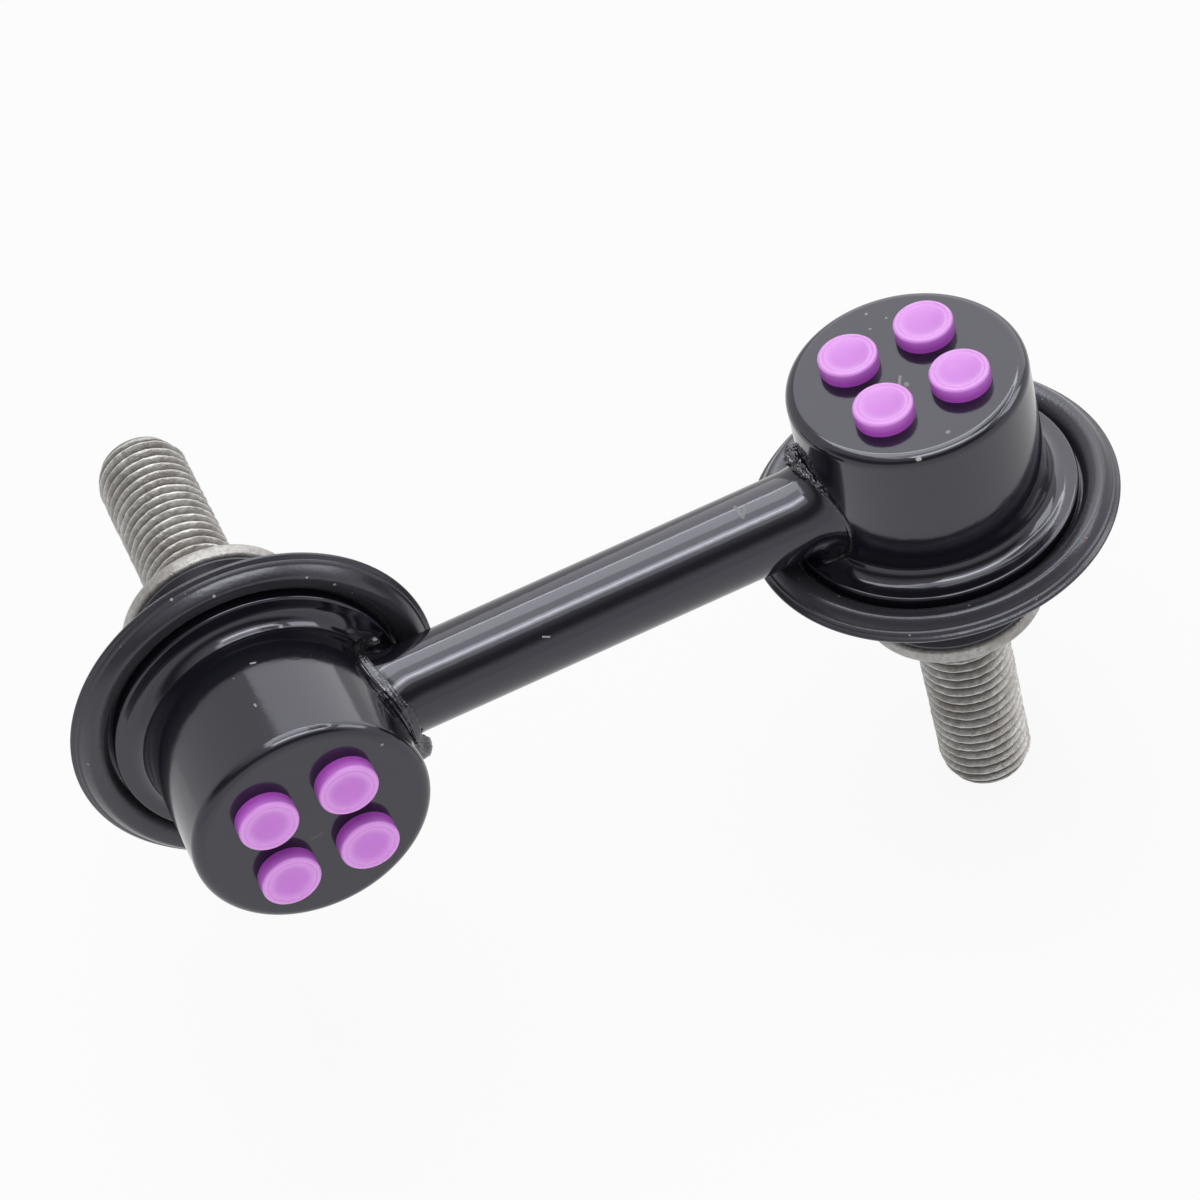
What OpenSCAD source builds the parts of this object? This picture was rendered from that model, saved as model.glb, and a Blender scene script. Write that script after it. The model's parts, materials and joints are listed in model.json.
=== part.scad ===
// Stabilizer link: a short rod welded between two ball-joint cups whose studs stand at right angles.
// Frame: millimetres, +Z up, X along the rod. The origin is the centre of the right stud's seating
// face. The right stud points down and the left stud points along +Y.

/* [Link] */
// Distance between the two joint axes, measured along the rod
joint_spacing = 70; // [62:1:120]
// Diameter of the rod
rod_d = 9; // [8:0.25:9.5]
// Diameter of the rod's flared end, at the cup
flare_d = 11.4; // [10.6:0.1:11.8]
// Length over which the rod flares
flare_length = 3; // [2.4:0.1:4]

/* [Cup] */
// Outside diameter of the drawn cup
cup_d = 24; // [23.8:0.1:25]
// Thickness of the cup's wall
cup_wall = 2.1; // [2:0.05:2.3]
// Thickness of the cup's closed end
cup_floor = 2.6; // [2.3:0.1:2.8]
// Distance from the rod's axis to the closed end's outer face
cup_head = 11.6; // [11.2:0.1:12]
// Radius of the closed end's outer edge
cup_edge_radius = 1.2; // [1:0.1:2]
// Diameter of the flange at the cup's mouth
flange_d = 29.6; // [27:0.2:31]
// Thickness of the flange
flange_thickness = 1.6; // [1.5:0.1:1.8]

/* [Ball joint] */
// Diameter of the ball
ball_d = 16; // [15.6:0.1:16.2]
// Thickness of resin under the ball
seat_floor = 2; // [1.7:0.1:2.3]
// Largest tilt of the stud either way, in degrees
tilt_limit = 25; // [15:1:26]
// Diameter of the circle through the staked pegs
peg_circle_d = 11.6; // [11:0.2:12.4]
// Diameter of a peg's staked head
peg_head_d = 6; // [5:0.1:6.4]
// Height of a peg's staked head
peg_head_height = 1.65; // [1.5:0.05:2.5]

/* [Stud] */
// Outside diameter of the thread
thread_d = 9.8; // [9.7:0.05:10]
// Pitch of the thread
thread_pitch = 1.25; // [1:0.05:1.75]
// Length of the thread, from the collar's seating face to the tip
thread_length = 25; // [16:1:40]
// Distance from the rod's axis to the seating face
seat_reach = 20.5; // [18.6:0.1:24]
// Diameter of the collar
collar_d = 19.2; // [17.4:0.2:19.4]
// Thickness of the collar
collar_thickness = 2; // [1.6:0.1:2.2]
// Diameter of the neck next to the ball
neck_d = 8.4; // [8:0.1:8.6]
// Across flats of the hex socket in the tip
hex_flats = 5; // [4:0.5:5.5]

/* [Boot] */
// Largest diameter of the rubber boot
boot_d = 37.6; // [37:0.1:38.6]
// Thickness of the boot's wall
boot_wall = 1.5; // [1.2:0.1:1.6]

/* [Hidden] */

// Clearances
press_gap = 0.05;   // between pieces that are pressed or staked together
boot_gap = 0.1;     // between the rubber boot and the steel that it grips
rubber_gap = 0.25;  // between the boot's rim and the rod or flange
tilt_gap = 1.5;     // degrees between the tilted neck and the seat's lip
cut_over = 1;       // how far a cutting tool runs out past the surface that it cuts

// Points on each curved stretch of an outline
curve_steps = 10;
$fn = 96;

// Colours
paint = "#202226";
weld_metal = "#2b2c30";
resin = "#c873dc";
rubber = "#2a2b2e";
bare_steel = "#b4b1aa";
plated_steel = "#8f9196";

// Every outline below is (radius, height): height runs along the joint's axis from the rod's axis
// towards the stud.
cup_r = cup_d / 2;
bore_r = cup_r - cup_wall;
flange_r = flange_d / 2;
ball_r = ball_d / 2;
neck_r = neck_d / 2;
thread_r = thread_d / 2;
boot_r = boot_d / 2;

// The fillet between wall and flange takes this share of the flange's width
fillet_share = 0.64;
flange_fillet = fillet_share * (flange_r - cup_r);
flange_rise = 0.3;
face_h = -cup_head;
floor_h = face_h + cup_floor;
flange_top = rod_d / 2 + flange_rise;
mouth_h = flange_top + flange_thickness;
flange_edge = 0.15;
bore_edge = 1;

// Ball and seat
seat_r = bore_r - press_gap;
seat_bottom = floor_h + press_gap;
ball_h = seat_bottom + seat_floor + ball_r;
socket_r = ball_r + press_gap;
lip_angle = tilt_limit + asin(neck_r / socket_r) + tilt_gap;
ball_flat = sqrt(ball_r * ball_r - neck_r * neck_r);
peg_d = 3.4;
peg_dish = 0.25;
peg_rim = 0.75;
peg_dish_r = peg_head_d / 2 - peg_rim;
peg_edge = 0.3;

// Retaining ring, which clamps the boot's base against the flange
ring_r = seat_r + 2 * press_gap;
ring_leg = 0.8;
ring_flange_width = 2.65;
ring_flange_r = ring_r + ring_flange_width;
boot_base_thickness = 1.2;
ring_flange_h = mouth_h + boot_base_thickness + boot_gap;
ring_top = ring_flange_h + ring_leg;
seat_flange = 0.8;
seat_flange_width = 1.05;
seat_flange_r = seat_r + seat_flange_width;
seat_top = ring_top + seat_flange;
mouth_lip = 0.9;
seat_mouth_r = seat_r - mouth_lip;

// Stud
collar_bottom = seat_reach - collar_thickness;
collar_edge = 0.35;
groove_rise = 1.3;
groove_r = neck_r + groove_rise;
groove_length = 4;
groove_run = 1.6;
tip_h = seat_reach + thread_length;
tip_chamfer = 0.75;
hex_depth = 4.5;
// The thread is drawn as rings: narrow crests with a V between them
thread_depth_share = 0.61;
thread_depth = thread_depth_share * thread_pitch;
crest_flat = thread_pitch / 8;
thread_turns = floor((thread_length - tip_chamfer - crest_flat) / thread_pitch);

// Boot: a rolled rim around the flange, a dome and a lip under the collar
rim_top = rod_d / 2 + rubber_gap;
rim_width = 2.05;
rim_height = 0.9;
belt_h = rim_top + rim_height;
well_r = flange_r + rubber_gap;
base_top = mouth_h + boot_gap / 2;
base_bottom = base_top + boot_base_thickness;
base_r = ring_r + ring_leg + boot_gap;
lip_top = collar_bottom - boot_gap;
lip_length = 1.8;
lip_width = 3;
lip_r = groove_r + lip_width;
lip_edge = 0.3;
lip_swell = 1.15;
waist_depth = 0.9;
waist_pinch = 0.2;
waist_r = lip_r - waist_depth;
waist_h = lip_top - lip_length - lip_swell;
// The dome leaves the belt straight, and comes to the waist from above the ring
dome_rise = 3;
dome_flare = 1.4;
dome_foot_h = ring_top + 2 * boot_wall;
dome_steps = 24;
dome_inner_start = 10;

// Rod and weld
rod_r = rod_d / 2;
flare_r = flare_d / 2;
flare_lead = 0.2;
flare_start = cup_r + flare_length + flare_lead;
weld_height = 0.9;
weld_width = 0.75;

// Points of an arc about a centre, radii rx and ry, from angle a0 to a1
function arc(centre, rx, ry, a0, a1, steps = curve_steps) =
    [for (i = [0:steps])
        let (a = a0 + (a1 - a0) * i / steps)
        centre + [rx * cos(a), ry * sin(a)]];

// Points of a cubic curve through a and d, drawn towards b and c
function curve(a, b, c, d, steps = curve_steps) =
    [for (i = [0:steps])
        let (t = i / steps, u = 1 - t)
        u * u * u * a + 3 * u * u * t * b + 3 * u * t * t * c + t * t * t * d];

// Points of a line set in by a distance, on the left of its direction
function set_in(points, distance) =
    let (last = len(points) - 1)
    [for (i = [0:last])
        let (along = points[min(i + 1, last)] - points[max(i - 1, 0)])
        points[i] + distance * [-along[1], along[0]] / norm(along)];

function backwards(points) = [for (i = [len(points) - 1:-1:0]) points[i]];

// Moves a joint, drawn along +Z about the origin, to its end of the rod
module at_left() {
    translate([-joint_spacing, 0, seat_reach]) rotate([-90, 0, 0]) children();
}

module at_right() {
    translate([0, 0, seat_reach]) rotate([180, 0, 0]) children();
}

// Outer outline of the cup, from the closed face to the mouth's rim
function cup_outline() = concat(
    [[0, face_h]],
    arc([cup_r - cup_edge_radius, face_h + cup_edge_radius],
        cup_edge_radius, cup_edge_radius, -90, 0),
    arc([cup_r + flange_fillet, flange_top - flange_fillet],
        flange_fillet, flange_fillet, 180, 90),
    [[flange_r - flange_edge, flange_top],
     [flange_r, flange_top + flange_edge],
     [flange_r, mouth_h - flange_edge],
     [flange_r - flange_edge, mouth_h]]);

module cup_envelope() {
    rotate_extrude() polygon(concat(cup_outline(), [[0, mouth_h]]));
}

module peg_positions() {
    for (angle = [45:90:315]) rotate(angle) translate([peg_circle_d / 2, 0, 0]) children();
}

module cup() {
    inside = concat(
        [[bore_r, mouth_h]],
        arc([bore_r - bore_edge, floor_h + bore_edge], bore_edge, bore_edge, 0, -90),
        [[0, floor_h]]);
    color(paint) difference() {
        rotate_extrude() polygon(concat(cup_outline(), inside));
        peg_positions() translate([0, 0, face_h - cut_over])
            cylinder(d = peg_d + 2 * press_gap, h = cup_floor + 2 * cut_over);
    }
}

// The rod before its ends are cut to the cups: a bar along X with a trumpet at each end
module rod_blank() {
    reach = joint_spacing / 2;
    inner_end = reach - cup_r + cup_wall;
    trumpet = arc([reach - flare_start, flare_r], flare_length, flare_r - rod_r, -90, 0);
    half = concat(trumpet, [[inner_end, flare_r], [inner_end, 0]]);
    left_half = [for (p = backwards(half)) [p[1], -p[0]]];
    right_half = [for (p = half) [p[1], p[0]]];
    translate([-reach, 0, seat_reach]) rotate([0, 90, 0])
        rotate_extrude() polygon(concat(left_half, right_half));
}

module link_rod() {
    color(paint) difference() {
        rod_blank();
        at_left() cup_envelope();
        at_right() cup_envelope();
    }
}

// Flash squeezed out where the rod's end meets the cup: a saddle-shaped ring on the cup's wall.
// The rod leaves the cup along the way given, +1 or -1 along X.
module weld(way) {
    bead_r = flare_r + weld_width;
    intersection() {
        translate([0, 0, -bead_r]) cylinder(r = cup_r + weld_height, h = bead_r + flange_top);
        rotate([0, 90 * way, 0]) cylinder(r = bead_r, h = cup_r + 2 * weld_height);
    }
}

module left_weld() {
    color(weld_metal) difference() {
        at_left() weld(1);
        rod_blank();
        at_left() cup_envelope();
    }
}

module right_weld() {
    color(weld_metal) difference() {
        at_right() weld(-1);
        rod_blank();
        at_right() cup_envelope();
    }
}

// One staked peg: a shank through the cup's closed end and a dished head outside it
module peg() {
    top = face_h - peg_head_height;
    head_r = peg_head_d / 2;
    translate([0, 0, face_h]) cylinder(d = peg_d, h = seat_bottom - face_h + seat_floor / 2);
    rotate_extrude() polygon(concat(
        [[0, face_h], [head_r, face_h]],
        arc([head_r - peg_edge, top + peg_edge], peg_edge, peg_edge, 0, -90),
        [[peg_dish_r + peg_dish, top], [peg_dish_r, top + peg_dish], [0, top + peg_dish]]));
}

module ball_seat() {
    shell = concat(
        [[0, seat_bottom], [seat_r - bore_edge, seat_bottom]],
        arc([seat_r - bore_edge, seat_bottom + bore_edge], bore_edge, bore_edge, -90, 0),
        [[seat_r, ring_top], [seat_flange_r, ring_top], [seat_flange_r, seat_top],
         [seat_mouth_r, seat_top]],
        [socket_r * [sin(lip_angle), cos(lip_angle)] + [0, ball_h]],
        [[0, ball_h]]);
    color(resin) {
        difference() {
            rotate_extrude() polygon(shell);
            translate([0, 0, ball_h]) sphere(r = socket_r);
        }
        peg_positions() peg();
    }
}

module retaining_ring() {
    color(plated_steel) rotate_extrude() polygon([
        [ring_r, mouth_h], [ring_r + ring_leg, mouth_h], [ring_r + ring_leg, ring_flange_h],
        [ring_flange_r, ring_flange_h], [ring_flange_r, ring_top], [ring_r, ring_top]]);
}

module boot() {
    rim_r = boot_r - rim_width;
    well = curve([well_r, base_top], [well_r, rim_top + rim_height],
        [well_r + rim_height / 2, rim_top], [rim_r, rim_top]);
    rim = arc([rim_r, belt_h], rim_width, rim_height, -90, 0);
    dome = curve([boot_r, belt_h], [boot_r, belt_h + dome_rise],
        [waist_r + dome_flare, dome_foot_h], [waist_r, waist_h], dome_steps);
    neck = curve([waist_r, waist_h], [waist_r - waist_pinch, waist_h + lip_swell / 2],
        [lip_r, waist_h + lip_swell / 2], [lip_r, waist_h + lip_swell]);
    dome_inside = [for (i = [dome_inner_start:dome_steps]) set_in(dome, boot_wall)[i]];
    bore = groove_r + boot_gap;
    color(rubber) rotate_extrude() polygon(concat(
        [[base_r, base_top]], well, rim, dome, neck,
        [[lip_r, lip_top - lip_edge], [lip_r - lip_edge, lip_top], [bore, lip_top],
         [bore, waist_h + waist_pinch]],
        backwards(dome_inside),
        [[dome_inside[0][0], base_bottom], [base_r, base_bottom]]));
}

module ball() {
    color(bare_steel) intersection() {
        translate([0, 0, ball_h]) sphere(r = ball_r);
        translate([0, 0, ball_h - ball_d]) cylinder(d = 2 * ball_d, h = ball_d + ball_flat);
    }
}

function thread_outline() = [
    for (i = [0:thread_turns - 1])
        let (h = seat_reach + i * thread_pitch)
        each [[thread_r, h], [thread_r, h + crest_flat],
              [thread_r - thread_depth, h + (thread_pitch + crest_flat) / 2]]];

module stud() {
    groove_bottom = collar_bottom - groove_length;
    collar_r = collar_d / 2;
    color(bare_steel) difference() {
        rotate_extrude() polygon(concat(
            [[0, ball_h + ball_flat], [neck_r, ball_h + ball_flat],
             [neck_r, groove_bottom - groove_run], [groove_r, groove_bottom],
             [groove_r, collar_bottom], [collar_r - collar_edge, collar_bottom],
             [collar_r, collar_bottom + collar_edge], [collar_r, seat_reach - collar_edge],
             [collar_r - collar_edge, seat_reach]],
            thread_outline(),
            [[thread_r, seat_reach + thread_turns * thread_pitch],
             [thread_r, tip_h - tip_chamfer], [thread_r - tip_chamfer, tip_h], [0, tip_h]]));
        translate([0, 0, tip_h - hex_depth])
            cylinder(d = hex_flats / cos(30), h = hex_depth + cut_over, $fn = 6);
    }
}

link_rod();
at_left() cup();  // left_cup
left_weld();
at_left() ball_seat();  // left_ball_seat
at_left() retaining_ring();  // left_retaining_ring
at_left() boot();  // left_boot
at_left() ball();  // left_ball
at_left() stud();  // left_stud
at_right() cup();  // right_cup
right_weld();
at_right() ball_seat();  // right_ball_seat
at_right() retaining_ring();  // right_retaining_ring
at_right() boot();  // right_boot
at_right() ball();  // right_ball
at_right() stud();  // right_stud
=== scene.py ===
"""Dresses the stabilizer link: painted cups and rod, rough weld beads, resin pegs, boots and studs."""
import json
import math

import bmesh
import bpy
from mathutils import Matrix, Vector


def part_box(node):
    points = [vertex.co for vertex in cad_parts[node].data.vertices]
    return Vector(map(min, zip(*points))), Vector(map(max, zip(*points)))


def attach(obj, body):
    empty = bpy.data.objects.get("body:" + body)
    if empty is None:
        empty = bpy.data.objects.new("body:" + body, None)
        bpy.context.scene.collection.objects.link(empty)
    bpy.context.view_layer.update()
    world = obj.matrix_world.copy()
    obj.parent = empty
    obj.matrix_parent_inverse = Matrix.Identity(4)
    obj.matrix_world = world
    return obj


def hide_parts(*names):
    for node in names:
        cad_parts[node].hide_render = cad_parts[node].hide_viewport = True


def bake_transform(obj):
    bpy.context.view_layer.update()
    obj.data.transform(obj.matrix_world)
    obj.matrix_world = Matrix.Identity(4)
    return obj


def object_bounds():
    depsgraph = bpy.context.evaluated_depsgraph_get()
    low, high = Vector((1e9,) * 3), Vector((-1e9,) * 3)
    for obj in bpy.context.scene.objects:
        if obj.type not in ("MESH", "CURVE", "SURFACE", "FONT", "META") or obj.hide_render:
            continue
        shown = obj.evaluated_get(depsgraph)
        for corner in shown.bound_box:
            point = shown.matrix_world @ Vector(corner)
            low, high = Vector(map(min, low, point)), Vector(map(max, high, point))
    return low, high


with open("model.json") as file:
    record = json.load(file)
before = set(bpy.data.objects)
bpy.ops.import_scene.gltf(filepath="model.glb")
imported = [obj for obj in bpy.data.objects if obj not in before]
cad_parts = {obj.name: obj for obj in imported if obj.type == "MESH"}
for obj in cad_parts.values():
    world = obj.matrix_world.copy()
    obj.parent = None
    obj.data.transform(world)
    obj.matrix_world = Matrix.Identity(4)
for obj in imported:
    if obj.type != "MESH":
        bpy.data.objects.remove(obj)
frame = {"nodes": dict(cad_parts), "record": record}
cad_low, cad_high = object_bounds()

# Sizes are in millimetres. A height runs along a joint's axis, from the rod's axis towards the stud.
MM = 0.001
SEGMENTS = 192
SIDES = ("left", "right")
MOUNTS = {m["name"]: m for m in frame["record"]["mounts"]}

ROD_LOW, ROD_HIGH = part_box("link_rod")
SEAT_REACH = (ROD_LOW.z + ROD_HIGH.z) / 2 / MM

ROD_RADIUS = 4.5
FLARE_RADIUS = 5.7
FLARE_LENGTH = 3.0
FLARE_STEPS = 18
FLARE_RUN = 0.3
ROD_END = 10.4

CUP_RADIUS = 12.0
CUP_BORE = 9.9
INNER_CORNER = 1
FACE = -11.6
FLOOR = -9.0
FACE_EDGE = 1.2
FLANGE_RADIUS = 14.8
FLANGE_TOP = 4.8
FLANGE_EDGE = 0.3
FILLET = 1.79
MOUTH = 6.4

BALL_HEIGHT = 1.05
BALL_FLAT = 7.86
SEAT_RADIUS = 9.85
SEAT_BOTTOM = -8.95
SOCKET_RADIUS = 8.05
SOCKET_STEPS = 24
SEAT_SEGMENTS = 96
SEAT_LIP_ANGLE = 57.9
SEAT_MOUTH = 8.95
SEAT_FLANGE_RADIUS = 10.9
RING_TOP = 8.5
SEAT_TOP = 9.3

PEG_COUNT = 4
PEG_SEGMENTS = 72
PEG_CIRCLE = 5.8
PEG_RADIUS = 3.0
PEG_TOP = FACE - 1.65
PEG_EDGE = 0.36
PEG_GROOVE = 2.46
PEG_GROOVE_DEPTH = 0.09
PEG_GROOVE_PULL = 0.06
PEG_RING = 2.26
PEG_RING_DEPTH = 0.03
PEG_RING_PULL = 0.2
PEG_DISH = 0.36
PEG_DISH_PULL = 1.9
PEG_SINK = 0.2

NECK_RADIUS = 4.2
GROOVE_RADIUS = 5.5
GROOVE_BOTTOM = 14.5
GROOVE_RUN = 1.6
COLLAR_BOTTOM = 18.5
COLLAR_RADIUS = 9.6
COLLAR_EDGE = 0.35
COLLAR_ROUND = 0.9
THREAD_RADIUS = 4.9
THREAD_PITCH = 1.25
THREAD_DEPTH = 0.74
THREAD_LENGTH = 25.0
THREAD_SINK = 0.4
TIP_RADIUS = 4.1
TIP_SLOPE = 0.5
THREAD_WEAR = 0.12
THREAD_SEEDS = {"left": 2.3, "right": 6.1}
THREAD_MERGE = 0.002
SCREW_MERGE = 0.003
FLANK = (0.2, 0.86)
WEAR_CIRCLE = 5.0
WEAR_SCALE = 1.3
WEAR_DETAIL = 3
WEAR_BAND = (0.35, 0.75)
# The shank's and the tip's share of the painted shade laid into the thread's roots.
SHANK_TONE = 0.62
TIP_TONE = 0.8
HEX_APOTHEM = 2.5
HEX_DEPTH = 4.5
HEX_MOUTH = 1.06
HEX_MOUTH_DEPTH = 0.2
HEX_CONE = 0.9
STEPS_AROUND = 96
STEPS_PER_TURN = 16

RIM_TOP = 4.7
CREST_RADIUS = 17.05
CREST_ROUND = 0.6
SLOPE_TOP = 45
SLOPE_END = 58
PARTING = (18.12, 5.7)
BOOT_RADIUS = 18.8
BOOT_WALL = 1.5
WELL_RADIUS = 15.05
BELT = 6.5
BASE_TOP = 6.45
BASE_BOTTOM = 7.65
BASE_RADIUS = 10.85
LIP_TOP = 18.4
LIP_RADIUS = 9.25
LIP_EDGE = 0.2
WAIST_RADIUS = 7.6
WAIST = 15.45
BOOT_BORE = 5.6
FLASH_HEIGHT = 0.13
FLASH_WIDTH = 0.4
FLASH_STEPS = 8
INSIDE_FROM = 16
BORE_RUN = 0.2
# How far the ends of each of the boot's curves draw it.
RIM_PULLS = (0.9, 1.1)
SLOPE_PULL = 0.4
EDGE_PULL = (0.12, 0.22)
BELT_PULL = 0.2
DOME_PULLS = (1.2, 1.4)
WAIST_PULL = (0.1, 0.9)
LIP_PULL = (1.0, 1.3)

BEAD_RADIUS = 0.6
WELD_POINTS = 240
BEAD_POINTS = 460
BEAD_SIDES = 72
STREAK_DETAIL = 2.0
LUMP_DETAIL = 4.0


# Outlines and meshes

def arc(centre, radius, start, end, steps=8):
    """Points of an arc about a centre, angles in degrees."""
    points = []
    for i in range(steps + 1):
        angle = math.radians(start + (end - start) * i / steps)
        points.append((centre[0] + radius * math.cos(angle), centre[1] + radius * math.sin(angle)))
    return points


def curve(a, b, c, d, steps=16):
    """Points of a cubic curve from a to d, drawn towards b and c."""
    points = []
    for i in range(steps + 1):
        t = i / steps
        u = 1 - t
        weights = (u * u * u, 3 * u * u * t, 3 * u * t * t, t * t * t)
        points.append(tuple(sum(w * p[k] for w, p in zip(weights, (a, b, c, d))) for k in (0, 1)))
    return points


def set_in(points, distance):
    """The same line, set in by a distance on the left of its direction."""
    last = len(points) - 1
    moved = []
    for i, point in enumerate(points):
        before, after = points[max(i - 1, 0)], points[min(i + 1, last)]
        along = (after[0] - before[0], after[1] - before[1])
        size = math.hypot(*along)
        moved.append((point[0] - distance * along[1] / size, point[1] + distance * along[0] / size))
    return moved


def with_supports(outline, closed, longest=0.5, near=0.04):
    """Adds a point close to each end of a long straight stretch, so that flat faces shade flat."""
    points = []
    count = len(outline)
    for i in range(count):
        a = outline[i]
        points.append(a)
        if i == count - 1 and not closed:
            break
        b = outline[(i + 1) % count]
        length = math.dist(a, b)
        if length > longest:
            for share in (near / length, 1 - near / length):
                points.append((a[0] + (b[0] - a[0]) * share, a[1] + (b[1] - a[1]) * share))
    return points


def lathe(name, outline, closed=False, segments=SEGMENTS):
    """Turns an outline of (radius, height) about the joint's axis."""
    verts, faces, rings = [], [], []
    for radius, height in with_supports(outline, closed):
        if radius < 1e-6:
            rings.append([len(verts)])
            verts.append((0, 0, height))
            continue
        rings.append(list(range(len(verts), len(verts) + segments)))
        for i in range(segments):
            angle = 2 * math.pi * i / segments
            verts.append((radius * math.cos(angle), radius * math.sin(angle), height))
    pairs = list(zip(rings, rings[1:]))
    if closed:
        pairs.append((rings[-1], rings[0]))
    for a, b in pairs:
        for i in range(segments):
            j = (i + 1) % segments
            corners = [a[i % len(a)], a[j % len(a)], b[j % len(b)], b[i % len(b)]]
            faces.append(list(dict.fromkeys(corners)))
    mesh = bpy.data.meshes.new(name)
    mesh.from_pydata(verts, [], faces)
    return mesh


def tidy_mesh(mesh, sharp=40):
    """Merges doubles, turns the faces outwards and shades the mesh smooth up to an angle."""
    work = bmesh.new()
    work.from_mesh(mesh)
    bmesh.ops.remove_doubles(work, verts=work.verts, dist=1e-7)
    bmesh.ops.dissolve_degenerate(work, edges=work.edges, dist=1e-8)
    bmesh.ops.recalc_face_normals(work, faces=work.faces)
    work.to_mesh(mesh)
    work.free()
    mesh.shade_smooth()
    mesh.set_sharp_from_angle(angle=math.radians(sharp))


def joint_place(side):
    """Moves a joint drawn in millimetres along +Z to its end of the rod, in metres."""
    mount = MOUNTS[side + "_stud"]
    axis = Vector(mount["axis"])
    along_rod = Vector((1, 0, 0))
    across = axis.cross(along_rod)
    turn = Matrix((along_rod, across, axis)).transposed().to_4x4()
    centre = Vector(mount["pos_m"]) - axis * SEAT_REACH * MM
    return Matrix.Translation(centre) @ turn @ Matrix.Scale(MM, 4)


PLACES = {side: joint_place(side) for side in SIDES}


def join_meshes(name, meshes):
    """One mesh out of several, with their attributes kept."""
    work = bmesh.new()
    for mesh in meshes:
        work.from_mesh(mesh)
    joined = bpy.data.meshes.new(name)
    work.to_mesh(joined)
    work.free()
    return joined


def new_piece(name, mesh, finish):
    """An object at the origin for a finished mesh."""
    mesh.materials.clear()
    mesh.materials.append(finish)
    piece = bpy.data.objects.new(name, mesh)
    bpy.context.scene.collection.objects.link(piece)
    return piece


def fit_piece(name, mesh, finish, body, node):
    """A piece that rides on a body and stands for a node."""
    piece = new_piece(name, mesh, finish)
    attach(piece, body)
    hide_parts(node)
    return piece


# Node helpers

def set_inputs(tree, node, values):
    """Links a node's inputs to sockets or sets them to plain values, by name or number."""
    for name, value in values.items():
        if isinstance(value, bpy.types.NodeSocket):
            tree.links.new(value, node.inputs[name])
        else:
            node.inputs[name].default_value = value


def put(tree, kind, inputs=None, **settings):
    """A new node with its settings and inputs."""
    node = tree.nodes.new(kind)
    for name, value in settings.items():
        setattr(node, name, value)
    set_inputs(tree, node, inputs or {})
    return node


def maths(tree, operation, *values, clamp=False):
    """A math node on sockets or numbers, and its result."""
    return put(tree, "ShaderNodeMath", dict(enumerate(values)), operation=operation,
               use_clamp=clamp).outputs[0]


def vector_maths(tree, operation, *values, scale=None):
    """A vector math node on sockets or vectors, and its outputs."""
    inputs = dict(enumerate(values))
    if scale is not None:
        inputs["Scale"] = scale
    return put(tree, "ShaderNodeVectorMath", inputs, operation=operation).outputs


def spread(tree, value, low, high, to_low=0.0, to_high=1.0):
    """Maps a value from one range to another, held at its ends."""
    return put(tree, "ShaderNodeMapRange", {
        "Value": value, "From Min": low, "From Max": high, "To Min": to_low, "To Max": to_high,
    }).outputs["Result"]


def noise(tree, inputs, **settings):
    """A noise node's value."""
    return put(tree, "ShaderNodeTexNoise", inputs, **settings).outputs["Fac"]


# Geometry trees

def geometry_tree(name, inputs, takes_geometry):
    """A geometry tree with named inputs; returns the tree and its inputs."""
    tree = bpy.data.node_groups.new(name, "GeometryNodeTree")
    tree.interface.new_socket("Geometry", in_out="OUTPUT", socket_type="NodeSocketGeometry")
    if takes_geometry:
        tree.interface.new_socket("Geometry", in_out="INPUT", socket_type="NodeSocketGeometry")
    for label, kind in inputs:
        tree.interface.new_socket(label, in_out="INPUT", socket_type="NodeSocket" + kind)
    return tree, put(tree, "NodeGroupInput").outputs


def end_tree(tree, geometry, finish):
    """Ends a tree in Realize Instances and Set Material."""
    real = put(tree, "GeometryNodeRealizeInstances", {"Geometry": geometry})
    painted = put(tree, "GeometryNodeSetMaterial", {
        "Geometry": real.outputs["Geometry"], "Material": finish})
    put(tree, "NodeGroupOutput", {"Geometry": painted.outputs["Geometry"]})


def store(tree, geometry, label, value):
    """Stores a value on each point under a name, and returns the geometry."""
    return put(tree, "GeometryNodeStoreNamedAttribute", {
        "Geometry": geometry, "Name": label, "Value": value,
    }, data_type="FLOAT", domain="POINT").outputs["Geometry"]


def position(tree):
    """The X, Y and Z of each point."""
    where = put(tree, "GeometryNodeInputPosition").outputs[0]
    return put(tree, "ShaderNodeSeparateXYZ", {0: where}).outputs


def on_circle(tree, radius, angle, height):
    """A point at a radius and an angle about Z, at a height."""
    return put(tree, "ShaderNodeCombineXYZ", {
        "X": maths(tree, "MULTIPLY", radius, maths(tree, "COSINE", angle)),
        "Y": maths(tree, "MULTIPLY", radius, maths(tree, "SINE", angle)), "Z": height}).outputs[0]


def grow(tree, base, values):
    """Runs a geometry tree on a mesh with its inputs set, and returns the plain mesh."""
    holder = bpy.data.objects.new("holder", base)
    bpy.context.scene.collection.objects.link(holder)
    modifier = holder.modifiers.new("grow", "NODES")
    modifier.node_group = tree
    keys = {item.name: item.identifier for item in tree.interface.items_tree
            if item.item_type == "SOCKET" and item.in_out == "INPUT"}
    for label, value in values.items():
        modifier[keys[label]] = value
    shown = holder.evaluated_get(bpy.context.evaluated_depsgraph_get())
    mesh = bpy.data.meshes.new_from_object(shown)
    holder.modifiers.remove(modifier)
    bpy.data.objects.remove(holder)
    return mesh


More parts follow.
